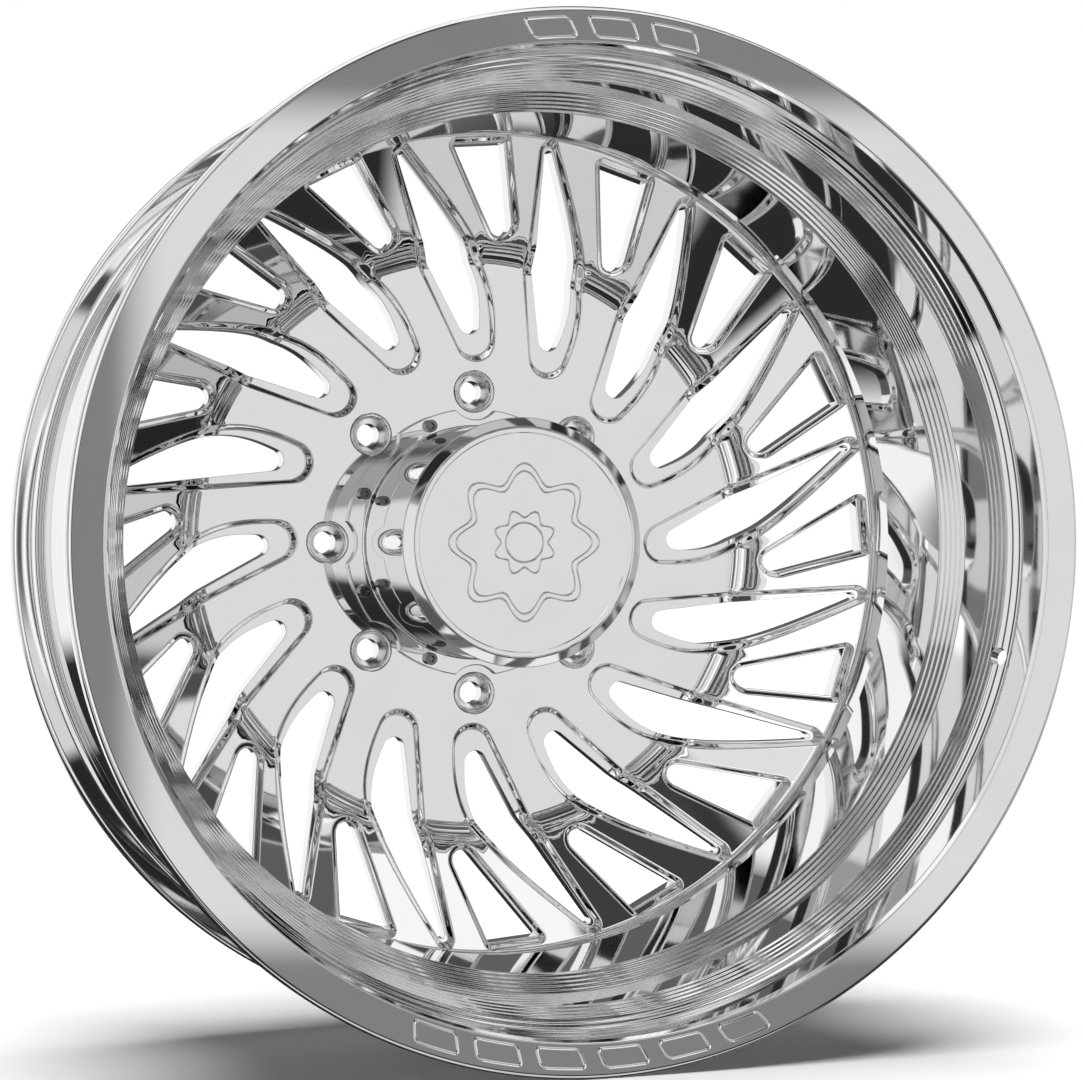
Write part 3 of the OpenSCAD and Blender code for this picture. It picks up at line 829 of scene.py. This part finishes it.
def makeCapBody(s):
    # a tube with a thin base; the base's edge is r(a) = min(baseR, the near side of a circle
    # of scallopR round each lug seat)
    a = np.arange(s["cols"]) * 2 * np.pi / s["cols"]
    off = (a + math.pi / 8) % (math.pi / 4) - math.pi / 8
    inside = s["scallopR"] ** 2 - (s["lugR"] * np.sin(off)) ** 2
    scallop = s["lugR"] * np.cos(off) - np.sqrt(np.maximum(inside, 0))
    rim = np.where(inside > 0, np.minimum(scallop, s["baseR"]), s["baseR"])
    top, base, pad, e = s["topT"], s["baseT"], s["padT"], s["round"]
    inner = s["filletR"] + 1.2
    corners = [(s["tubeIn"], pad, 0.3), (s["tubeIn"], top, 0.3), (s["tubeR"], top, 0.3),
               (s["tubeR"], base, 2.4), (inner, base, 0.0)]
    tube, _ = roundedPath(corners, closed=False, steps=7)
    within = np.stack([np.full(12, s["tubeIn"]), np.linspace(pad + 2, top - 2, 12)], 1)
    tube = np.concatenate([tube[:1], within, tube[1:]])
    tube = tube[np.concatenate([[True], np.linalg.norm(np.diff(tube, axis=0), axis=1) > 0.02])]
    rows = [np.stack([np.full(s["cols"], r), np.full(s["cols"], t)], 1) for r, t in tube]
    # the base as (share of the way out, inset, height), with its edge rounded by e
    edge = [(0.3, 0, base), (1, 1.6 * e, base), (1, e, base), (1, 0.62 * e, base - 0.08 * e),
            (1, 0.29 * e, base - 0.29 * e), (1, 0.08 * e, base - 0.62 * e), (1, 0, base - e),
            (1, 0, base - 1.6 * e), (1, 0, pad + 0.4), (1, 0, pad), (1, 0.6, pad)]
    rows += [np.stack([inner + (rim - inner) * w - d, np.full(s["cols"], t)], 1) for w, d, t in edge]
    grid = np.stack(rows)
    r, t = grid[..., 0], grid[..., 1]
    place = np.stack([r * np.cos(a), r * np.sin(a), t], axis=-1)
    along = np.roll(place, -1, axis=0) - np.roll(place, 1, axis=0)
    around = np.roll(place, -1, axis=1) - np.roll(place, 1, axis=1)
    norm = np.cross(along, around)
    norm /= np.maximum(np.linalg.norm(norm, axis=2), 1e-9)[..., None]
    norms = np.stack([norm[..., 0], -norm[..., 2], norm[..., 1]], axis=-1).reshape(-1, 3)
    verts = toRow(place[..., 0], place[..., 1], place[..., 2]).reshape(-1, 3)
    quads = gridQuads(len(rows), s["cols"], rowsClose=True)
    return addSurface("capTube", verts, outwards(verts, [quads], norms), norms)[0]


dress(makeCapBody(capShape), "wheel", metals["cap"], "cap_polish", "cap_body")

# cap lid, with the push-in spigot behind it
lidLow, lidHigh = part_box("cap_lid")
lidShape = {
    "topT": -lidLow[1] / mm, "backT": -lidHigh[1] / mm, "rimR": lidHigh[0] / mm, "spigotR": 77.8,
    "spigotIn": 74.8, "faceT": 2.5, "rimT": 8.0, "cols": 360,
}


def makeLid(s):
    # one profile turned about the axle: hollow, spigot with its seal groove, bezel and face
    top, back, rim = s["topT"], s["backT"], s["rimR"]
    seat, face = top - s["rimT"], top - 1.0
    spigot, hollow = s["spigotR"], s["spigotIn"]
    corners = [(0, face - s["faceT"], 0), (hollow, face - s["faceT"], 1.0), (hollow, back, 0.3),
               (spigot, back, 0.4), (spigot, seat - 6.2, 0.1), (spigot - 1.8, seat - 6.2, 0.2),
               (spigot - 1.8, seat - 3.8, 0.2), (spigot, seat - 3.8, 0.1), (spigot, seat, 0.1),
               (rim, seat, 0.6), (rim, seat + 3.7, 1.2), (rim - 5.9, top - 0.2, 0.5),
               (rim - 6.7, top, 0.4), (rim - 7.3, face + 0.35, 0.3), (rim - 10, face + 0.35, 0.5),
               (rim - 10.5, face, 0.3), (0, face, 0)]
    points, normals = roundedPath(corners, closed=False, steps=6)
    normals = -normals
    normals[0], normals[-1] = (0, -1), (0, 1)
    verts, quads, norms = turned(points, normals, s["cols"], closed=False)
    return addSurface("lidShell", verts, outwards(verts, [quads], norms), norms)[0]


dress(makeLid(lidShape), "lid", metals["lid"], "lid_polish", "cap_lid")
sealNode = frame["nodes"]["lid_o_ring"]
sealNode.data.materials.clear()
sealNode.data.materials.append(sealRubber())

# cap screws
screwShape = {
    "pitchR": 87.0, "seatT": 26.0, "headR": 4.25, "headH": 5.0, "shankR": 2.5, "length": 12.0,
    "socket": 2.3, "socketDeep": 2.5, "break": 0.35, "point": 0.6, "cols": 48,
}


def makeScrew(s, number):
    # a turned head and shank; the last rows run round the hexagon r(a) = socket cos 30 / cos a'
    t0 = s["seatT"]
    corners = [(0, t0 - s["length"], 0), (s["shankR"], t0 - s["length"], 0.4), (s["shankR"], t0, 0.1),
               (s["headR"], t0, 0.2), (s["headR"], t0 + s["headH"], 0.8), (3.1, t0 + s["headH"], 0)]
    points, normals = roundedPath(corners, closed=False, steps=5)
    normals = -normals
    a = np.arange(s["cols"]) * 2 * np.pi / s["cols"]
    hexagon = s["socket"] * math.cos(math.pi / 6) / np.cos(a % (math.pi / 3) - math.pi / 6)
    c, d = np.cos(a), np.sin(a)
    top, low = t0 + s["headH"], t0 + s["headH"] - s["socketDeep"]
    rows = [(r + 0 * a, t + 0 * a, nr + 0 * a, nt + 0 * a)
            for (r, t), (nr, nt) in zip(points, normals)]
    # the socket's edge, its six walls and the drilled point at its bottom, as (r, t, normal)
    rows += [(hexagon + s["break"], top + 0 * a, 0 * a, 1 + 0 * a),
             (hexagon, top - s["break"] + 0 * a, -1 + 0 * a, 0 * a),
             (hexagon, low + 0 * a, -1 + 0 * a, 0 * a), (hexagon, low + 0 * a, 0 * a, 1 + 0 * a),
             (0 * a, low - s["point"] + 0 * a, 0 * a, 1 + 0 * a)]
    r, t, nr, nt = (np.stack(v) for v in zip(*rows))
    turn = (number - 0.5) * math.pi / 4
    x0, y0 = s["pitchR"] * math.cos(turn), s["pitchR"] * math.sin(turn)
    verts = toRow(x0 + r * c, y0 + r * d, t).reshape(-1, 3)
    norms = np.stack([nr * c, -nt, nr * d], axis=-1).reshape(-1, 3)
    quads = gridQuads(len(rows), s["cols"])
    return addSurface("capScrewShell" + str(number), verts, outwards(verts, [quads], norms), norms)[0]


for number in range(1, 9):
    dress(makeScrew(screwShape, number), "wheel", metals["screw"], "screw_steel",
          "cap_screw_" + str(number))

# weld bead, the CAD's own piece with a material
weldNode = frame["nodes"]["weld_bead"]
weldNode.data.materials.clear()
weldNode.data.materials.append(metals["weld"])
print("stage: seats, cap, lid, screws and weld made")

# stage, light and camera
stageSettings = {
    "floorSize": 30.0, "floorGrey": 0.86, "turn": 18.72, "distance": 1.6471, "aside": -0.03777,
    "height": 0.0016, "lens": 90.55, "sensor": 36.0,
}


def makeStage(s):
    floorZ = cadBox[0][2]
    h = s["floorSize"] / 2
    mesh = bpy.data.meshes.new("studioFloor")
    corners = [(-h, -h, floorZ), (h, -h, floorZ), (h, h, floorZ), (-h, h, floorZ)]
    mesh.from_pydata(corners, [], [(0, 1, 2, 3)])
    floor = bpy.data.objects.new("studioFloor", mesh)
    bpy.context.scene.collection.objects.link(floor)
    mat = bpy.data.materials.new("paleFloor")
    tree = Tree(mat)
    shader = tree.node("ShaderNodeBsdfPrincipled", None,
                       {"Base Color": grey(s["floorGrey"]), "Roughness": 0.9, "Specular IOR Level": 0.1})
    tree.node("ShaderNodeOutputMaterial", None, [shader])
    mesh.materials.append(mat)
    floor.visible_glossy = False


def makeCamera(s):
    # level with the axle, and turned about the upright line through the lip's centre
    a = math.radians(s["turn"])
    right = Vector((math.cos(a), -math.sin(a), 0))
    ahead = Vector((math.sin(a), math.cos(a), 0))
    lipCentre = Vector((0, -lipT * mm, 0))
    data = bpy.data.cameras.new("camera")
    data.lens, data.sensor_width, data.sensor_fit = s["lens"], s["sensor"], "HORIZONTAL"
    data.clip_start, data.clip_end = 0.05, 100
    camera = bpy.data.objects.new("camera", data)
    camera.location = lipCentre + right * s["aside"] - ahead * s["distance"] + Vector((0, 0, s["height"]))
    camera.rotation_euler = ahead.to_track_quat("-Z", "Y").to_euler()
    bpy.context.scene.collection.objects.link(camera)
    bpy.context.scene.camera = camera


# Softboxes and dark cloths as the metal mirrors them: azimuth from and to (0 in front of the
# wheel, 90 to its right), elevation from and to, width of the soft edge, and level
studioSettings = {
    "below": 0.025, "above": 0.12, "cameraLevel": 1.0, "ambient": 0.08, "sun": 4.2, "sunAngle": 44.0,
    "boxes": ((6, 66, -24, 26, 3, 0.24), (10.0, 64, -8.6, 9.2, 0.9, 0.79), (-88, -11, -34, 58, 1.5, 0.84),
              (-42, -32, -20, 60, 1, 1.35), (68, 112, -26, 40, 1.5, 0.82), (-179, -98, -16, 100, 3, 1.0),
              (-180, 180, 42, 100, 2, 1.05), (-55, 95, -100, -46, 1.5, 0.66), (-14, 3, 4, 40, 4, 0.40),
              (106, 146, -40, 18, 3, 0.45)),
    "cloths": ((83, 89, -60, 60, 0.8, 0.95), (97, 101, -60, 60, 0.6, 0.9),
               (-152, -147, -60, 60, 0.8, 0.9), (-136, -133, -60, 60, 0.8, 0.8),
               (-52, -46, 20, 60, 1.2, 0.9), (112, 160, 20, 72, 3, 0.95),
               (-30, 12, 40, 62, 2, 0.95), (-75, -62, -40, 70, 1, 0.9), (60, 70, 42, 80, 1.5, 0.9)),
    "horizon": (-8, 8),     # the elevation where below turns into above, and how softly
    "sunLeans": 0.05,
}


def makeWorld(s):
    world = bpy.data.worlds.new("studio")
    bpy.context.scene.world = world
    tree = Tree(world)
    direction = tree.node("ShaderNodeTexCoord", output=0)
    split = tree.node("ShaderNodeSeparateXYZ", None, [direction]).socket.node
    x, y, z = (Wire(tree, split.outputs[k]) for k in range(3))
    azimuth = tree.node("ShaderNodeMath", {"operation": "ARCTAN2"}, [x, 0 - y]) * (180 / math.pi)
    elevation = z.maths("ARCSINE", z) * (180 / math.pi)

    def between(value, low, high, soft):
        # a smooth step up at low, less a smooth step up at high
        ends = [tree.node("ShaderNodeMapRange", {"interpolation_type": "SMOOTHSTEP"},
                          [value, end - soft, end + soft, 0.0, 1.0]) for end in (low, high)]
        return ends[0] - ends[1]

    turnsAt, softness = s["horizon"]
    level = s["below"] + (s["above"] - s["below"]) * between(elevation, turnsAt, 200, softness)
    for aLow, aHigh, eLow, eHigh, soft, value in s["boxes"]:
        box = between(azimuth, aLow, aHigh, soft) * between(elevation, eLow, eHigh, soft) * value
        level = level.maths("MAXIMUM", level, box)
    for aLow, aHigh, eLow, eHigh, soft, depth in s["cloths"]:
        cloth = between(azimuth, aLow, aHigh, soft) * between(elevation, eLow, eHigh, soft)
        level = level * (1 - cloth * depth)
    ray = tree.node("ShaderNodeLightPath").socket.node
    seen, scattered = Wire(tree, ray.outputs["Is Camera Ray"]), Wire(tree, ray.outputs["Is Diffuse Ray"])
    level = level * (1 - seen) * (1 - scattered) + seen * s["cameraLevel"] + scattered * s["ambient"]
    back = tree.node("ShaderNodeBackground", None, [grey(1.0), level])
    tree.node("ShaderNodeOutputWorld", None, [back])


def makeSun(s):
    # soft light from above the camera, which the metal doesn't mirror
    data = bpy.data.lights.new("keyLight", "SUN")
    data.energy, data.angle = s["sun"], math.radians(s["sunAngle"])
    light = bpy.data.objects.new("keyLight", data)
    light.rotation_euler = Vector((0.0, s["sunLeans"], -1.0)).to_track_quat("-Z", "Y").to_euler()
    light.visible_glossy = False
    bpy.context.scene.collection.objects.link(light)


makeStage(stageSettings)
makeCamera(stageSettings)
makeWorld(studioSettings)
makeSun(studioSettings)
bpy.context.scene.view_settings.view_transform = "Standard"
print("stage: studio made")
